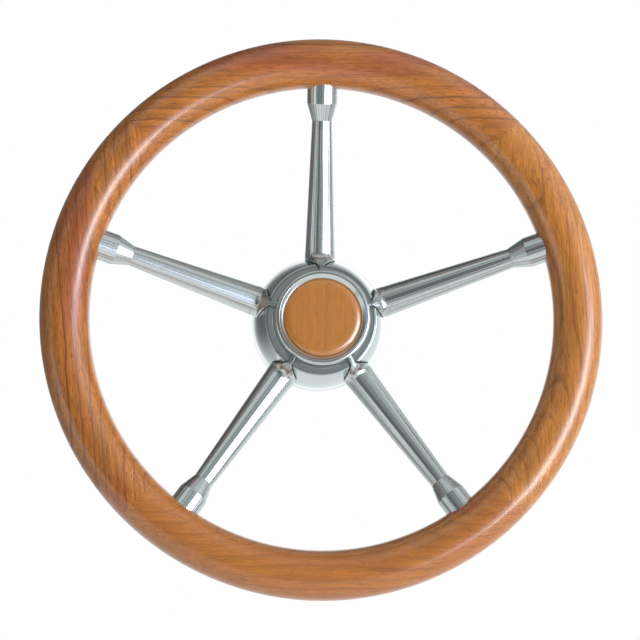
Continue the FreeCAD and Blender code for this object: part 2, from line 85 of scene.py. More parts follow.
def colour_size(name, description, hex_colour):
    """A colour that a user can change, given as sRGB hex."""
    return bpy.props.FloatVectorProperty(name=name, description=description, subtype="COLOR", size=4,
                                         min=0, max=1, default=linear(hex_colour))


def length_size(name, description, millimetres):
    """A length that a user can change."""
    return bpy.props.FloatProperty(name=name, description=description, unit="LENGTH", min=0, precision=5,
                                   default=millimetres / 1000)


class WheelSizes(bpy.types.PropertyGroup):
    """Sizes of the wheel's pieces"""
    rim_radius: length_size("Rim radius", "From the axis to the middle of the rim's section", RIM_RADIUS)
    dish_depth: length_size("Dish", "From the rim's middle plane back to the hub's back face", 66)
    spoke_tilt: bpy.props.FloatProperty(name="Spoke tilt", description="Angle of a spoke to the rim's plane",
                                        subtype="ANGLE",
                                        default=math.atan2(ROOT_END_DEPTH, RIM_RADIUS - ROOT_END_RADIUS))
    spoke_root: length_size("Spoke root", "Diameter of a spoke where it enters the hub", 22)
    spoke_neck: length_size("Spoke neck", "Diameter of a spoke where it meets its ferrule", 14.3)
    root_end: length_size("Root end", "Radius where the spoke's full root ends", ROOT_END_RADIUS)
    tenon: length_size("Tenon", "Diameter of the tenon on the spoke's inner end", 14)
    tenon_length: length_size("Tenon length", "Length of the tenon", 18)
    ferrule: length_size("Ferrule", "Diameter of the ferrule's collar", 22)
    ferrule_small: length_size("Ferrule cone end", "Small end of the ferrule's cone", 14.9)
    ferrule_seat: length_size("Ferrule seat", "From the middle of the rim's section to the ferrule", 11.5)
    ferrule_collar: length_size("Ferrule collar", "Length of the ferrule's collar", 16.4)
    ferrule_cone: length_size("Ferrule cone", "Length of the ferrule's cone", 12.4)
    tongue: length_size("Tongue", "Waist of the tongue between spoke and hub core", 4.2)
    tongue_seat: length_size("Tongue seat", "Radius of the tongue's inner end", 33.2)
    tongue_front: length_size("Tongue front", "Depth of the tongue's front at its inner end", 6)
    flare_start: length_size("Flare start", "Radius where the tongue starts to flare into the spoke", 38.8)
    flare_front: length_size("Flare front", "Depth of the tongue's front there", 20)
    flare_length: length_size("Flare length", "From there outwards to where it has run into the spoke", 12)
    flare_sink: length_size("Flare sink", "How deep the flare's end lies under the spoke's surface", 0.4)
    flare_skin: length_size("Flare skin", "How far the flare's sides end outside the spoke's surface", 0.02)
    cover_back: length_size("Cover back radius", "Outside of the hub cover at its back edge", 49)
    cover_wall: length_size("Cover wall", "Wall of the hub cover", 2)
    cap_radius: length_size("Cap radius", "Outside of the cap's bezel", 31.4)
    cap_front: length_size("Cap front", "Depth of the bezel's front", 1.2)
    cap_flange: length_size("Cap flange", "Thickness of the cap's outer flange", 4.6)
    bezel_edge: length_size("Bezel edge", "Flat top of the bezel", 0.5)
    bezel_drop: length_size("Bezel drop", "Depth of the sloping bezel", 3)
    insert_radius: length_size("Disc radius", "Radius of the wooden disc", 27.6)
    insert_seat: length_size("Disc seat", "Height of the disc's straight side", 2)
    insert_round: length_size("Disc rounding", "Width of the disc's rounded edge", 6)
    insert_rise: length_size("Disc rise", "Rise of the disc's rounded edge", 1.9)
    insert_dome: length_size("Disc dome", "Rise of the disc from its rounded edge to its middle", 0.2)
    cap_plate: length_size("Cap plate", "Thickness of the cap's plate behind the disc", 2.5)
    skirt_radius: length_size("Skirt radius", "Skirt of the cap inside the core", 28.9)
    skirt_wall: length_size("Skirt wall", "Thickness of the cap's skirt", 2.4)
    skirt_length: length_size("Skirt length", "Length of the cap's skirt", 7)
    edge: length_size("Edge rounding", "Rounding of turned edges", 0.15)


class WheelColours(bpy.types.PropertyGroup):
    """Colours of the wheel's woods and metals"""
    wood: colour_size("Wood", "Light wood between the growth rings", "BA6E22")
    golden: colour_size("Golden wood", "Lighter wood of the right-hand board", "C47A2C")
    wood_red: colour_size("Reddish wood", "Slow drifts of redder wood along a board", "AC5824")
    wood_vein: colour_size("Vein", "Dark late wood of the growth rings", "5E2C10")
    disc: colour_size("Disc", "Wood of the disc in the hub's cap", "C27618")
    steel: colour_size("Steel", "Polished stainless steel", "C9D0D0")
    thread: colour_size("Thread", "Turned steel of the studs and screws", "9A9C9E")
    rubber: colour_size("Rubber", "Black rubber of the sealing ring", "101010")


# Materials

def new_material(name):
    material = bpy.data.materials.new(name)
    material.use_nodes = True
    return material, material.node_tree.nodes["Principled BSDF"]


def add_node(tree, kind, settings=(), inputs=(), links=()):
    """Add a node, give it settings and input values, and link its inputs: a link is (input, node, output)."""
    node = tree.nodes.new(kind)
    for name, value in dict(settings).items():
        setattr(node, name, value)
    for name, value in dict(inputs).items():
        node.inputs[name].default_value = value
    for name, source, output in links:
        tree.links.new(source.outputs[output], node.inputs[name])
    return node


# Stainless steel in three finishes. Studs and screws are left as turned, and look satin. Hub and cap are
# polished on a cloth mop and mirror the room. Spokes and ferrules are polished lengthwise, and look streaked
# from their marks and from painted shade along them.
TURNED_ROUGHNESS = 0.35
HUB_ROUGHNESS = 0.14
SPOKE_ROUGHNESS = 0.17
# Polishing marks are a tenth of a millimetre wide in the real steel, and drawn at 1 mm so that they show
MARKS_PER_RADIAN = 9
MARKS_PER_METRE = 3.6
MARK_DEPTH = 0.0003
# Painted shade: where the marks are deep, the steel's colour is darkened to about half
PAINTED_MARK_SHADE = {"From Min": 0.3, "From Max": 0.5, "To Min": 0.55, "To Max": 1}


def get_steel(name, colour, roughness):
    """Steel of one finish."""
    material, shader = new_material(name)
    shader.inputs["Base Color"].default_value = colour
    shader.inputs["Metallic"].default_value = 1
    shader.inputs["Roughness"].default_value = roughness
    return material


def get_spoke_steel(colour):
    """Steel with fine polishing marks, which run along the Z of the pieces' polish attribute, and painted
    shade that darkens the steel's colour along the deeper marks. Spokes and ferrules share it."""
    name = "long_polished_stainless"
    if name in bpy.data.materials:
        return bpy.data.materials[name]
    material = get_steel(name, colour, SPOKE_ROUGHNESS)
    tree = material.node_tree
    shader = tree.nodes["Principled BSDF"]
    place = add_node(tree, "ShaderNodeAttribute", {"attribute_name": "polish"})
    across = add_node(tree, "ShaderNodeVectorMath", {"operation": "MULTIPLY"}, {1: (1, 1, 0)},
                      [(0, place, "Vector")])
    around = add_node(tree, "ShaderNodeVectorMath", {"operation": "NORMALIZE"}, links=[(0, across, "Vector")])
    along = add_node(tree, "ShaderNodeVectorMath", {"operation": "MULTIPLY_ADD"},
                     {1: (0, 0, MARKS_PER_METRE / MARKS_PER_RADIAN)},
                     [(0, place, "Vector"), (2, around, "Vector")])
    scratches = add_node(tree, "ShaderNodeTexNoise",
                         inputs={"Scale": MARKS_PER_RADIAN, "Detail": 2, "Roughness": 0.6},
                         links=[("Vector", along, "Vector")])
    relief = add_node(tree, "ShaderNodeBump", inputs={"Strength": 1, "Distance": MARK_DEPTH},
                      links=[("Height", scratches, "Fac")])
    tree.links.new(relief.outputs["Normal"], shader.inputs["Normal"])
    # Painted shade: the base colour is darkened where the polishing marks are deep
    painted_mark_shade = add_node(tree, "ShaderNodeMapRange", {"interpolation_type": "SMOOTHSTEP"}, PAINTED_MARK_SHADE,
                    [("Value", scratches, "Fac")])
    shade = add_node(tree, "ShaderNodeVectorMath", {"operation": "SCALE"}, {0: colour[:3]},
                     [("Scale", painted_mark_shade, "Result")])
    tree.links.new(shade.outputs["Vector"], shader.inputs["Base Color"])
    return material


# Moulded rubber, matt black
RUBBER_ROUGHNESS = 0.6


def get_rubber(colour):
    material, shader = new_material("moulded_rubber")
    shader.inputs["Base Color"].default_value = colour
    shader.inputs["Roughness"].default_value = RUBBER_ROUGHNESS
    return material


# Varnished teak. Its growth rings show as dark veins, its fibres as fine streaks and its pores as dark
# dashes, and a clear coat over the dull wood gives the bright highlight.
WOOD_ROUGHNESS = 0.4
VARNISH_ROUGHNESS = 0.13
VARNISH_IOR = 1.52
# Varnish flows over the fibres, which leaves its surface very slightly ribbed: depth in metres and strength
RIB_DEPTH = 0.00006
RIB_STRENGTH = 0.35
# The disc lies under thick clear resin, which mirrors more than a real one so that its arc of light shows
RESIN_ROUGHNESS = 0.04
RESIN_IOR = 1.85

# Patterns of the wood, in noise cells to the metre along the grain and both ways across it. The rings wander
# in cells of 200 mm by 45 mm, redder wood drifts in cells of 125 mm by 25 mm, and fibres lie in bundles of
# 100 mm by 4 mm.
WANDER_CELLS = (5, 22, 22)
DRIFT_CELLS = (8, 40, 40)
BUNDLE_CELLS = (10, 260, 260)
# Fibres are half a millimetre wide in the real wood, and drawn at 1 mm so that they show
FIBRE_CELLS = (60, 1000, 1000)
# Open pores are a third of a millimetre wide in the real wood, and drawn at about twice that
PORE_CELLS = (170, 1300, 1300)
PORE_RANGE = {"From Min": 0.6, "From Max": 0.78, "To Min": 0}
# The rings wander to either side by half this many metres at most, which leaves them ragged
WANDER = 0.018
# Late wood is a thin dark line in each growth ring, sharp on its outer side, that fades inwards: where it
# grows and where it ends, in shares of the ring's width, the power that thins it, and its faintest strength
LATE_WOOD = {"From Min": 0.45, "From Max": 0.97}
LATE_WOOD_END = {"From Min": 1, "From Max": 0.95}
LATE_WOOD_POWER = 4
FAINTEST_YEAR = 0.1
# Redder wood starts at this level of its noise, or lower in a redder board, and is full so much above that
RED_START = 0.62
RED_LOWERED = 0.3
RED_BLEND = 0.2
# How far fibres lighten and darken the wood, and how far bundles of fibres do
FIBRE_CONTRAST = 0.26
BUNDLE_DARKER = 0.2
BUNDLE_LIGHTER = 0.24


class Log(NamedTuple):
    """The log that a board was sawn from. Turn lays the grain along X, pith is a point of the log's centre
    line and ring_width the spacing of its rings, in metres. The rest are strengths, 1 for a marked one."""
    turn: tuple
    pith: tuple
    ring_width: float
    redness: float
    veins: float
    pores: float
    fibres: float


LEVEL = (0, 0, math.radians(3))
UPRIGHT = (0, math.radians(86), 0)
DISC_UPRIGHT = (0, math.radians(90), 0)
LOGS = {
    "top": Log(LEVEL, (0, -0.05, 0.4), 0.008, redness=0.4, veins=1, pores=0.5, fibres=0.95),
    "left": Log(UPRIGHT, (0.1, -0.1, 0), 0.0075, redness=0.45, veins=1, pores=0.6, fibres=1.1),
    "bottom": Log(LEVEL, (0, -0.02, -0.36), 0.007, redness=0.15, veins=0.45, pores=0.3, fibres=0.6),
    "right": Log(UPRIGHT, (0.3, 0.06, 0), 0.006, redness=0, veins=0.7, pores=0.4, fibres=1),
    "disc": Log(DISC_UPRIGHT, (0.3, 0.1, 0), 0.02, redness=0, veins=0.1, pores=0.2, fibres=0.35),
}


def add_figure(tree, place, cells, detail, roughness=0.5):
    """Noise with so many cells to the metre along the grain and both ways across it."""
    stretched = add_node(tree, "ShaderNodeVectorMath", {"operation": "MULTIPLY"}, {1: cells},
                         [(0, place, "Vector")])
    return add_node(tree, "ShaderNodeTexNoise", inputs={"Scale": 1, "Detail": detail, "Roughness": roughness},
                    links=[("Vector", stretched, "Vector")])


def lay_grain(tree, log):
    """Places in the log, as they are and with the wander of its growth rings."""
    place = add_node(tree, "ShaderNodeTexCoord")
    along = add_node(tree, "ShaderNodeMapping", {"vector_type": "TEXTURE"},
                     {"Rotation": log.turn, "Location": log.pith}, [("Vector", place, "Object")])
    wander = add_figure(tree, along, WANDER_CELLS, 5)
    centred = add_node(tree, "ShaderNodeVectorMath", {"operation": "SUBTRACT"}, {1: (0.5, 0.5, 0.5)},
                       [(0, wander, "Color")])
    shifted = add_node(tree, "ShaderNodeVectorMath", {"operation": "MULTIPLY_ADD"}, {1: (0, WANDER, WANDER)},
                       [(0, centred, "Vector"), (2, along, "Vector")])
    return along, shifted


def add_late_wood(tree, place, log):
    """How dark the growth rings are, each with the strength of its own year."""
    across = add_node(tree, "ShaderNodeVectorMath", {"operation": "MULTIPLY"}, {1: (0, 1, 1)},
                      [(0, place, "Vector")])
    radius = add_node(tree, "ShaderNodeVectorMath", {"operation": "LENGTH"}, links=[(0, across, "Vector")])
    rings = add_node(tree, "ShaderNodeMath", {"operation": "DIVIDE"}, {1: log.ring_width},
                     [(0, radius, "Value")])
    phase = add_node(tree, "ShaderNodeMath", {"operation": "FRACT"}, links=[(0, rings, 0)])
    year = add_node(tree, "ShaderNodeMath", {"operation": "FLOOR"}, links=[(0, rings, 0)])
    strength = add_node(tree, "ShaderNodeTexWhiteNoise", {"noise_dimensions": "1D"}, links=[("W", year, 0)])
    fading = add_node(tree, "ShaderNodeMapRange", {"interpolation_type": "SMOOTHSTEP"}, LATE_WOOD,
                      [("Value", phase, 0)])
    edge = add_node(tree, "ShaderNodeMapRange", {"interpolation_type": "SMOOTHSTEP"}, LATE_WOOD_END,
                    [("Value", phase, 0)])
    sharp = add_node(tree, "ShaderNodeMath", {"operation": "POWER"}, {1: LATE_WOOD_POWER}, [(0, fading, 0)])
    line = add_node(tree, "ShaderNodeMath", {"operation": "MULTIPLY"}, links=[(0, sharp, 0), (1, edge, 0)])
    depth = add_node(tree, "ShaderNodeMapRange",
                     inputs={"From Min": 0, "From Max": 1, "To Min": FAINTEST_YEAR, "To Max": log.veins},
                     links=[("Value", strength, "Value")])
    return add_node(tree, "ShaderNodeMath", {"operation": "MULTIPLY"}, links=[(0, line, 0), (1, depth, 0)])


def contrast(darkest, lightest):
    """Map Range inputs that turn noise, which mostly lies between 0.3 and 0.7, into factors for a colour."""
    return {"From Min": 0.3, "From Max": 0.7, "To Min": darkest, "To Max": lightest}


def get_wood(side, colours, light, coat_roughness=VARNISH_ROUGHNESS, coat_ior=VARNISH_IOR):
    """Wood of one board or of the disc under its clear coat. Light is its colour between the veins."""
    log = LOGS[side]
    material, shader = new_material(f"varnished_teak_{side}")
    tree = material.node_tree
    along, shifted = lay_grain(tree, log)

    drift = add_figure(tree, along, DRIFT_CELLS, 1)
    red_start = RED_START - RED_LOWERED * log.redness
    reddish = add_node(tree, "ShaderNodeMapRange", {"interpolation_type": "SMOOTHSTEP"},
                       {"From Min": red_start, "From Max": red_start + RED_BLEND}, [("Value", drift, "Fac")])
    body = add_node(tree, "ShaderNodeMix", {"data_type": "RGBA"}, {6: light, 7: colours.wood_red},
                    [(0, reddish, 0)])

    fibre = add_figure(tree, shifted, FIBRE_CELLS, 3, 0.65)
    fine = add_node(tree, "ShaderNodeMapRange",
                    inputs=contrast(1 - FIBRE_CONTRAST * log.fibres, 1 + FIBRE_CONTRAST * log.fibres),
                    links=[("Value", fibre, "Fac")])
    bundle = add_figure(tree, shifted, BUNDLE_CELLS, 2)
    coarse = add_node(tree, "ShaderNodeMapRange",
                      inputs=contrast(1 - BUNDLE_DARKER * log.fibres, 1 + BUNDLE_LIGHTER * log.fibres),
                      links=[("Value", bundle, "Fac")])
    grain = add_node(tree, "ShaderNodeMath", {"operation": "MULTIPLY"}, links=[(0, fine, 0), (1, coarse, 0)])
    toned = add_node(tree, "ShaderNodeVectorMath", {"operation": "SCALE"},
                     links=[(0, body, 2), ("Scale", grain, 0)])

    line = add_late_wood(tree, shifted, log)
    specks = add_figure(tree, shifted, PORE_CELLS, 0)
    pore = add_node(tree, "ShaderNodeMapRange", {"interpolation_type": "SMOOTHSTEP"},
                    {**PORE_RANGE, "To Max": log.pores}, [("Value", specks, "Fac")])
    dark = add_node(tree, "ShaderNodeMath", {"operation": "MAXIMUM"}, links=[(0, line, 0), (1, pore, 0)])
    veined = add_node(tree, "ShaderNodeMix", {"data_type": "RGBA"}, {7: colours.wood_vein},
                      [(0, dark, 0), (6, toned, "Vector")])
    tree.links.new(veined.outputs[2], shader.inputs["Base Color"])

    ribs = add_node(tree, "ShaderNodeBump", inputs={"Strength": RIB_STRENGTH, "Distance": RIB_DEPTH},
                    links=[("Height", bundle, "Fac")])
    tree.links.new(ribs.outputs["Normal"], shader.inputs["Normal"])
    tree.links.new(ribs.outputs["Normal"], shader.inputs["Coat Normal"])
    shader.inputs["Roughness"].default_value = WOOD_ROUGHNESS
    shader.inputs["Coat Weight"].default_value = 1
    shader.inputs["Coat Roughness"].default_value = coat_roughness
    shader.inputs["Coat IOR"].default_value = coat_ior
    return material


def dress(material, *names):
    """Give CAD nodes whose shape is right their material."""
    for name in names:
        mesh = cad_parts[name].data
        mesh.materials.clear()
        mesh.materials.append(material)


# Mesh helpers

def spin_outline(bm, outline, steps=ROUND_STEPS):
    """Turn an outline of (radius, height) corners about Z. It is closed if it doesn't start and end on Z."""
    corners = [bm.verts.new((radius, 0, height)) for radius, height in outline]
    pairs = list(zip(corners, corners[1:]))
    if outline[0][0] > 0 or outline[-1][0] > 0:
        pairs.append((corners[-1], corners[0]))
    edges = [bm.edges.new(pair) for pair in pairs]
    bmesh.ops.spin(bm, geom=corners + edges, cent=(0, 0, 0), axis=(0, 0, 1), dvec=(0, 0, 0),
                   angle=math.tau, steps=steps, use_merge=True, use_duplicate=False)
    bmesh.ops.remove_doubles(bm, verts=bm.verts, dist=SAME_PLACE)


def round_edges(bm, width):
    bmesh.ops.recalc_face_normals(bm, faces=bm.faces)
    sharp = [edge for edge in bm.edges if len(edge.link_faces) == 2 and edge.calc_face_angle() > SHARP_EDGE]
    bmesh.ops.bevel(bm, geom=sharp, offset=width, offset_type="OFFSET", segments=3, profile=0.5,
                    affect="EDGES", clamp_overlap=True, material=-1)


def make_piece(bm, name, material, nodes, place, lathe=Matrix()):
    """Turn a finished bmesh into a piece that stands for CAD nodes. Place moves it to its place in the wheel,
    and lathe is the place that its turned shape already has in the bmesh."""
    polish = bm.verts.layers.float_vector.new("polish")
    for vert in bm.verts:
        vert[polish] = lathe.inverted() @ vert.co
    bm.transform(place)
    bmesh.ops.recalc_face_normals(bm, faces=bm.faces)
    for face in bm.faces:
        face.smooth = True
    mesh = bpy.data.meshes.new(name)
    bm.to_mesh(mesh)
    bm.free()
    mesh.materials.append(material)
    piece = bpy.data.objects.new(name, mesh)
    bpy.context.scene.collection.objects.link(piece)
    shading = piece.modifiers.new("even_shading", "WEIGHTED_NORMAL")
    shading.keep_sharp = True
    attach(piece, "root")
    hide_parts(*nodes)


def spoke_place(sizes):
    """Place of a spoke drawn along +X. Its Z runs from the middle of the rim's section inwards to the hub."""
    across, back = math.cos(sizes.spoke_tilt), math.sin(sizes.spoke_tilt)
    return Matrix(((0, back, -across, sizes.rim_radius),
                   (0, across, back, -sizes.dish_depth),
                   (1, 0, 0, 0),
                   (0, 0, 0, 1)))


def facing(number):
    """Turn a piece drawn along +X to the place of one spoke. The first stands upright."""
    return Matrix.Rotation(-math.radians(90) - math.tau / SPOKES * (number - 1), 4, "Y")


def axis_depth(sizes, radius):
    """Depth of a spoke's axis at a radius."""
    return (sizes.rim_radius - radius) * math.tan(sizes.spoke_tilt)


# Pieces

class WHEEL_OT_rim(bpy.types.Operator):
    """The four boards of the wooden rim"""
    bl_idname = "wheel.rim"
    bl_label = "Wooden rim"

    def execute(self, context):
        colours = context.scene.wheel_colours
        for side in BOARDS:
            wood = get_wood(side, colours, colours.golden if side == "right" else colours.wood)
            dress(wood, f"rim_board_{side}")
        # The tongues in the rim's joints are hidden, and share the last board's wood
        dress(wood, *[f"rim_spline_{number}" for number in range(1, len(BOARDS) + 1)])
        return {"FINISHED"}


class WHEEL_OT_ferrules(bpy.types.Operator):
    """A turned ferrule at the rim end of each spoke"""
    bl_idname = "wheel.ferrules"
    bl_label = "Ferrules"

    def execute(self, context):
        sizes = context.scene.wheel_sizes
        steel = get_spoke_steel(context.scene.wheel_colours.steel)
        cone_start = sizes.ferrule_seat + sizes.ferrule_collar
        cone_end = cone_start + sizes.ferrule_cone
        for number in range(1, SPOKES + 1):
            bm = bmesh.new()
            spin_outline(bm, (
                (0, sizes.ferrule_seat),
                (sizes.ferrule / 2, sizes.ferrule_seat),
                (sizes.ferrule / 2, cone_start),
                (sizes.ferrule_small / 2, cone_end),
                (0, cone_end),
            ))
            round_edges(bm, sizes.edge)
            make_piece(bm, f"ferrule_{number}", steel, [f"rim_ferrule_{number}"],
                       facing(number) @ spoke_place(sizes))
        return {"FINISHED"}


# How steeply the tongue's front falls back where the flare starts, and how deep the flare's heel bulges
# behind the spoke's axis, as a share of its half width
FLARE_SLOPE = 1.5
FLARE_HEEL = 0.3
# The flare has widened to the spoke's width at this share of its length, and this much of that is eased
FLARE_WIDENED = 0.5
FLARE_EASED = 0.4
# Exponents of a section's outline: nearly square at the tongue, and round from this share of the flare on
TONGUE_SQUARENESS = 6
ROUND_SQUARENESS = 2
FLARE_ROUNDED = 0.6
# A corner is on the front side of the axis down to this sine, so that rounding can't put it behind
LEVEL_CORNER = -1e-6


def flare_section(sizes, radius):
    """Half width, height in front of the spoke's axis and squareness of tongue and flare at a radius."""
    root = sizes.spoke_root / 2
    share = (radius - sizes.flare_start) / sizes.flare_length
    foot = axis_depth(sizes, radius)
    if share <= 0:
        run = (radius - sizes.tongue_seat) / (sizes.flare_start - sizes.tongue_seat)
        front = sizes.tongue_front + run * (sizes.flare_front - sizes.tongue_front)
        return sizes.tongue / 2, foot - front, TONGUE_SQUARENESS
    # The front follows a cubic curve that leaves the tongue steeply and meets the spoke along its surface
    end = sizes.flare_start + sizes.flare_length
    end_front = axis_depth(sizes, end) - root / math.cos(sizes.spoke_tilt) + sizes.flare_sink
    front = (sizes.flare_front * (1 + 2 * share) * (1 - share) ** 2 + end_front * (3 - 2 * share) * share ** 2
             + sizes.flare_length * (FLARE_SLOPE * share * (1 - share) ** 2
                                     + math.tan(sizes.spoke_tilt) * share ** 2 * (1 - share)))
    widening = min(share / FLARE_WIDENED, 1)
    eased = widening * widening * (3 - 2 * widening)
    widening = eased * FLARE_EASED + widening * (1 - FLARE_EASED)
    half = sizes.tongue / 2 + (root + sizes.flare_skin - sizes.tongue / 2) * widening
    rounded = min(share / FLARE_ROUNDED, 1)
    return half, foot - front, TONGUE_SQUARENESS + (ROUND_SQUARENESS - TONGUE_SQUARENESS) * rounded


def make_flare(bm, sizes):
    """The tongue in the hub core and its flare into the spoke's root, as one skin of cross-sections."""
    turn = bm.verts.layers.float.new("turn")
    ring = bmesh.ops.create_circle(bm, segments=FLARE_CORNERS, radius=1)["verts"]
    for vert in ring:
        vert[turn] = math.atan2(vert.co.y, vert.co.x) % math.tau
    edges = list({edge for vert in ring for edge in vert.link_edges})
    first = edges
    radii = [sizes.tongue_seat + (sizes.flare_start - sizes.tongue_seat) * step / TONGUE_STEPS
             for step in range(TONGUE_STEPS)]
    radii += [sizes.flare_start + sizes.flare_length * step / FLARE_STEPS for step in range(FLARE_STEPS + 1)]
    for number, radius in enumerate(radii):
        if number:
            grown = bmesh.ops.extrude_edge_only(bm, edges=edges)["geom"]
            ring = [item for item in grown if isinstance(item, bmesh.types.BMVert)]
            edges = [item for item in grown if isinstance(item, bmesh.types.BMEdge)]
        half, height, squareness = flare_section(sizes, radius)
        foot = axis_depth(sizes, radius) - sizes.dish_depth
        for vert in ring:
            across, up = math.cos(vert[turn]), math.sin(vert[turn])
            if up >= LEVEL_CORNER:
                up = max(up, 0)
                across = math.copysign(abs(across) ** (2 / squareness), across)
                vert.co = (radius, foot - height * up ** (2 / squareness), half * across)
            else:
                vert.co = (radius, foot - half * up * FLARE_HEEL, half * across)
    for loop in (first, edges):
        bmesh.ops.edgeloop_fill(bm, edges=loop)


class WHEEL_OT_spokes(bpy.types.Operator):
    """Five tapered spokes with the flared tongues that key them to the hub"""
    bl_idname = "wheel.spokes"
    bl_label = "Spokes"

    def execute(self, context):
        sizes = context.scene.wheel_sizes
        steel = get_spoke_steel(context.scene.wheel_colours.steel)
        neck_start = sizes.ferrule_seat + sizes.ferrule_collar + sizes.ferrule_cone
        slant = math.cos(sizes.spoke_tilt)
        taper_reach = (sizes.rim_radius - sizes.cover_back + sizes.cover_wall) / slant
        root_reach = (sizes.rim_radius - sizes.root_end) / slant
        taper = [(sizes.spoke_neck / 2 + (sizes.spoke_root - sizes.spoke_neck) / 2 * step / TAPER_STEPS,
                  neck_start + (taper_reach - neck_start) * step / TAPER_STEPS)
                 for step in range(TAPER_STEPS + 1)]
        for number in range(1, SPOKES + 1):
            bm = bmesh.new()
            spin_outline(bm, (
                (0, neck_start),
                *taper,
                (sizes.spoke_root / 2, root_reach),
                (sizes.tenon / 2, root_reach),
                (sizes.tenon / 2, root_reach + sizes.tenon_length),
                (0, root_reach + sizes.tenon_length),
            ))
            round_edges(bm, sizes.edge)
            bm.transform(spoke_place(sizes))
            make_flare(bm, sizes)
            make_piece(bm, f"tapered_spoke_{number}", steel, [f"spoke_{number}"],
                       facing(number), spoke_place(sizes))
        return {"FINISHED"}


def make_bezel(sizes, steel, front, disc):
    """The turned cap with its sloping bezel and the skirt behind it."""
    plate = disc + sizes.insert_seat + sizes.cap_plate
    bm = bmesh.new()
    spin_outline(bm, (
        (0, disc + sizes.insert_seat),
        (sizes.insert_radius, disc + sizes.insert_seat),
        (sizes.insert_radius, disc),
        (sizes.cap_radius - sizes.bezel_edge, front),
        (sizes.cap_radius, front),
        (sizes.cap_radius, front + sizes.cap_flange),
        (sizes.skirt_radius, front + sizes.cap_flange),
        (sizes.skirt_radius, plate + sizes.skirt_length),
        (sizes.skirt_radius - sizes.skirt_wall, plate + sizes.skirt_length),
        (sizes.skirt_radius - sizes.skirt_wall, plate),
        (0, plate),
    ), CAP_STEPS)
    round_edges(bm, sizes.edge)
    make_piece(bm, "cap_bezel", steel, ["cap_body"], ON_WHEEL_AXIS)


def make_disc(sizes, wood, disc):
    """The domed disc, whose edge is rounded by an arc that starts level with the dome."""
    flat = sizes.insert_radius - sizes.insert_round
    bend = (sizes.insert_round ** 2 + sizes.insert_rise ** 2) / (2 * sizes.insert_rise)
    slope = math.asin(sizes.insert_round / bend)
    turns = [slope * step / ROUNDING_STEPS for step in range(ROUNDING_STEPS + 1)]
    rounding = [(flat + bend * math.sin(turn), disc - sizes.insert_rise + bend * (1 - math.cos(turn)))
                for turn in turns]
    # A dome falls with the square of the radius, so half way out it still has three quarters of its rise
    half_way = disc - sizes.insert_rise - sizes.insert_dome * 0.75
    bm = bmesh.new()
    spin_outline(bm, (
        (0, disc - sizes.insert_rise - sizes.insert_dome),
        (flat / 2, half_way),
        *rounding,
        (sizes.insert_radius, disc + sizes.insert_seat),
        (0, disc + sizes.insert_seat),
    ), CAP_STEPS)
    make_piece(bm, "wooden_disc", wood, ["cap_insert"], ON_WHEEL_AXIS)


class WHEEL_OT_hub(bpy.types.Operator):
    """Hub core, hub cover and the cap with its wooden disc"""
    bl_idname = "wheel.hub"
    bl_label = "Hub"

    def execute(self, context):
        sizes, colours = context.scene.wheel_sizes, context.scene.wheel_colours
        steel = get_steel("polished_stainless", colours.steel, HUB_ROUGHNESS)
        dress(steel, "hub_core", "hub_cover")
        front = sizes.cap_front - sizes.dish_depth
        disc = front + sizes.bezel_drop
        make_bezel(sizes, steel, front, disc)
        wood = get_wood("disc", colours, colours.disc, RESIN_ROUGHNESS, RESIN_IOR)
        make_disc(sizes, wood, disc)
        return {"FINISHED"}


class WHEEL_OT_fasteners(bpy.types.Operator):
    """Studs, grub screws and the cap's rubber ring"""
    bl_idname = "wheel.fasteners"
    bl_label = "Studs, screws and ring"

    def execute(self, context):
        colours = context.scene.wheel_colours
        thread = get_steel("turned_stainless", colours.thread, TURNED_ROUGHNESS)
        dress(thread, "spoke_lock_screws", *[f"rim_stud_{number}" for number in range(1, SPOKES + 1)])
        dress(get_rubber(colours.rubber), "cap_o_ring")
        return {"FINISHED"}


# Stage

# The photograph's eye point, the point it looks at, and its lens and film width in millimetres
EYE = Vector((-0.0802, -1.5048, -0.1423))
AIM = Vector((-0.0021, -0.066, -0.00235))
LENS = 114.9
FILM_WIDTH = 36

# The floor under the wheel and the backdrop well behind it: (width and height, middle, tilt in degrees)
CARDS = {
    "floor": ((2.8, 2.8), (0, 0, -1), 0),
    "backdrop": ((1.6, 1.8), (0.1, 2.6, 0.1), 90),
}
PAPER_ROUGHNESS = 0.9

# A bright window with a wider, dimmer and bluer glow round it, both in one place: degrees off the line to the
# camera, degrees round it from right over up, and distance. Each is (name, width, height, radiance, colour).
LAMP_PLACE = (50, -32, 3)
LAMPS = (
    ("key_lamp", 0.9, 3.6, 8, "FFFFFF"),
    ("soft_box", 2.1, 4.8, 3.2, "D6DEFF"),
)

# Brightness of the room, with white as 1, and its lighter and darker sides: (degrees off the line to the
# camera, degrees round it from right over up, degrees of full effect, degrees where it ends, factor)
ROOM = 0.62
ROOM_PATCHES = (
    (0, 0, 8, 28, 0.55),
    (34, 178, 8, 30, 0.3),
    (28, 105, 6, 24, 0.6),
    (38, -144, 5, 20, 0.5),
    (60, -165, 5, 20, 2.2),
    (78, 40, 25, 50, 1.4),
    (64, 8, 6, 28, 1.8),
    (62, -60, 6, 24, 1.6),
    (66, -72, 5, 20, 1.6),
    (42, 55, 6, 22, 0.7),
    (45, -108, 8, 24, 1.5),
    (92, -92, 10, 30, 0.6),
    (115, 150, 32, 58, 0.3),
    (120, 90, 12, 42, 0.5),
    (150, -50, 20, 60, 1.8),
    (176, 100, 14, 36, 1.9),
    (66, 108, 5, 20, 1.5),
)


def stage_turn(off_camera, around):
    """Axes of a lamp so many degrees off the line to the camera, and turned about it from right over up.
    Z points from the wheel to the lamp, X away from the camera and Y on round the line."""
    towards = (EYE - AIM).to_track_quat("Z", "Y").to_matrix()
    about_line = Matrix.Rotation(math.radians(around), 3, "Z")
    return towards @ about_line @ Matrix.Rotation(math.radians(off_camera), 3, "Y")


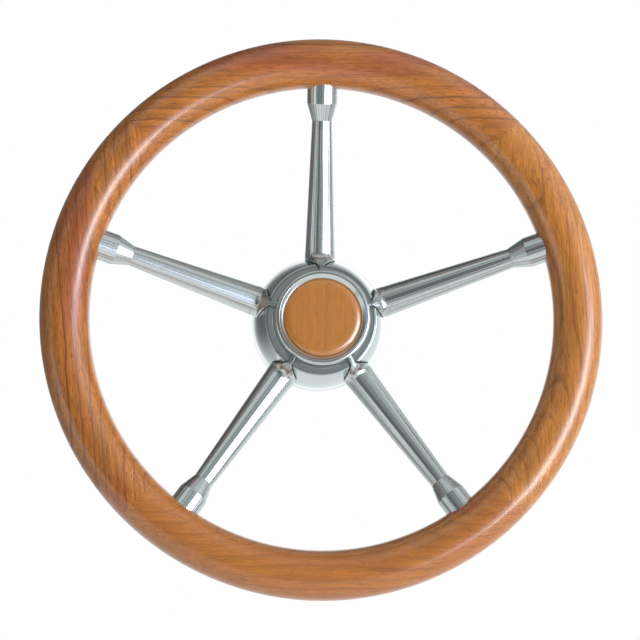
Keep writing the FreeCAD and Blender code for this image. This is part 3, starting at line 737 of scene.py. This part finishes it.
def add_camera(scene):
    camera = bpy.data.objects.new("camera", bpy.data.cameras.new("camera"))
    scene.collection.objects.link(camera)
    camera.location = EYE
    camera.rotation_euler = (AIM - EYE).to_track_quat("-Z", "Y").to_euler()
    camera.data.lens = LENS
    camera.data.sensor_width = FILM_WIDTH
    scene.camera = camera


def light_room(scene):
    """A room with lighter and darker sides, which the steel mirrors. To the camera it is plain white."""
    world = bpy.data.worlds.new("studio")
    world.use_nodes = True
    scene.world = world
    tree = world.node_tree
    room = tree.nodes["Background"]
    place = add_node(tree, "ShaderNodeTexCoord")
    shade = add_node(tree, "ShaderNodeValue")
    shade.outputs[0].default_value = ROOM
    for off_camera, around, inner, outer, factor in ROOM_PATCHES:
        closeness = add_node(tree, "ShaderNodeVectorMath", {"operation": "DOT_PRODUCT"},
                             {1: stage_turn(off_camera, around).col[2]}, [(0, place, "Generated")])
        patch = add_node(tree, "ShaderNodeMapRange", {"interpolation_type": "SMOOTHSTEP"}, {
            "From Min": math.cos(math.radians(outer)), "From Max": math.cos(math.radians(inner)),
            "To Min": 1, "To Max": factor}, [("Value", closeness, "Value")])
        shade = add_node(tree, "ShaderNodeMath", {"operation": "MULTIPLY"},
                         links=[(0, shade, 0), (1, patch, "Result")])
    tree.links.new(shade.outputs[0], room.inputs["Strength"])
    room.inputs["Color"].default_value = linear("F4FAFA")
    white = add_node(tree, "ShaderNodeBackground")
    white.inputs["Color"].default_value = (1, 1, 1, 1)
    rays = add_node(tree, "ShaderNodeLightPath")
    mix = add_node(tree, "ShaderNodeMixShader", links=[
        (0, rays, "Is Camera Ray"), (1, room, "Background"), (2, white, "Background")])
    tree.links.new(mix.outputs["Shader"], tree.nodes["World Output"].inputs["Surface"])


def add_lamp(name, off_camera, around, distance, width, height, radiance, colour):
    """A soft square lamp that faces the wheel. Radiance 1 looks as bright as a white background."""
    lamp = bpy.data.lights.new(name, "AREA")
    lamp.shape = "RECTANGLE"
    lamp.size, lamp.size_y = width, height
    lamp.energy = radiance * width * height * math.pi
    lamp.color = colour[:3]
    place = bpy.data.objects.new(name, lamp)
    turn = stage_turn(off_camera, around)
    place.location = AIM + turn.col[2] * distance
    place.rotation_euler = turn.to_euler()
    bpy.context.scene.collection.objects.link(place)


def get_paper():
    """Pale paper, which is white to the camera and in reflections, and lit like paper otherwise."""
    paper, shader = new_material("white_paper")
    shader.inputs["Base Color"].default_value = linear("E8E8E8")
    shader.inputs["Roughness"].default_value = PAPER_ROUGHNESS
    tree = paper.node_tree
    rays = add_node(tree, "ShaderNodeLightPath")
    seen = add_node(tree, "ShaderNodeMath", {"operation": "MAXIMUM"},
                    links=[(0, rays, "Is Camera Ray"), (1, rays, "Is Glossy Ray")])
    seen = add_node(tree, "ShaderNodeMath", {"operation": "MAXIMUM"},
                    links=[(0, seen, 0), (1, rays, "Is Transmission Ray")])
    glow = add_node(tree, "ShaderNodeEmission")
    mix = add_node(tree, "ShaderNodeMixShader", links=[
        (0, seen, 0), (1, shader, "BSDF"), (2, glow, "Emission")])
    tree.links.new(mix.outputs["Shader"], tree.nodes["Material Output"].inputs["Surface"])
    return paper


def add_card(name, paper, size, middle, tilt):
    """A flat stage card, tilted up about X."""
    bm = bmesh.new()
    bmesh.ops.create_grid(bm, x_segments=1, y_segments=1, size=0.5)
    bmesh.ops.scale(bm, vec=(*size, 1), verts=bm.verts)
    bm.transform(Matrix.Translation(middle) @ Matrix.Rotation(math.radians(tilt), 4, "X"))
    mesh = bpy.data.meshes.new(name)
    bm.to_mesh(mesh)
    bm.free()
    mesh.materials.append(paper)
    card = bpy.data.objects.new(name, mesh)
    bpy.context.scene.collection.objects.link(card)


class WHEEL_OT_stage(bpy.types.Operator):
    """Floor, backdrop, lights and camera"""
    bl_idname = "wheel.stage"
    bl_label = "Stage"

    def execute(self, context):
        scene = context.scene
        add_camera(scene)
        light_room(scene)
        paper = get_paper()
        for name, (size, middle, tilt) in CARDS.items():
            add_card(name, paper, size, middle, tilt)
        for name, width, height, radiance, colour in LAMPS:
            add_lamp(name, *LAMP_PLACE, width, height, radiance, linear(colour))
        scene.view_settings.view_transform = "Standard"
        return {"FINISHED"}


STEPS = (WHEEL_OT_rim, WHEEL_OT_ferrules, WHEEL_OT_spokes, WHEEL_OT_hub, WHEEL_OT_fasteners, WHEEL_OT_stage)


class WHEEL_PT_panel(bpy.types.Panel):
    """Steps that build the wheel"""
    bl_label = "Boat Wheel"
    bl_idname = "WHEEL_PT_panel"
    bl_space_type = "VIEW_3D"
    bl_region_type = "UI"
    bl_category = "Boat Wheel"

    def draw(self, context):
        for step in STEPS:
            self.layout.operator(step.bl_idname)


CLASSES = (WheelSizes, WheelColours) + STEPS + (WHEEL_PT_panel,)


def register():
    for each in CLASSES:
        bpy.utils.register_class(each)
    bpy.types.Scene.wheel_sizes = bpy.props.PointerProperty(type=WheelSizes)
    bpy.types.Scene.wheel_colours = bpy.props.PointerProperty(type=WheelColours)


def unregister():
    del bpy.types.Scene.wheel_colours
    del bpy.types.Scene.wheel_sizes
    for each in reversed(CLASSES):
        bpy.utils.unregister_class(each)


def main():
    register()
    bpy.ops.wheel.rim()
    bpy.ops.wheel.ferrules()
    bpy.ops.wheel.spokes()
    bpy.ops.wheel.hub()
    bpy.ops.wheel.fasteners()
    bpy.ops.wheel.stage()


if __name__ == "__main__":
    main()
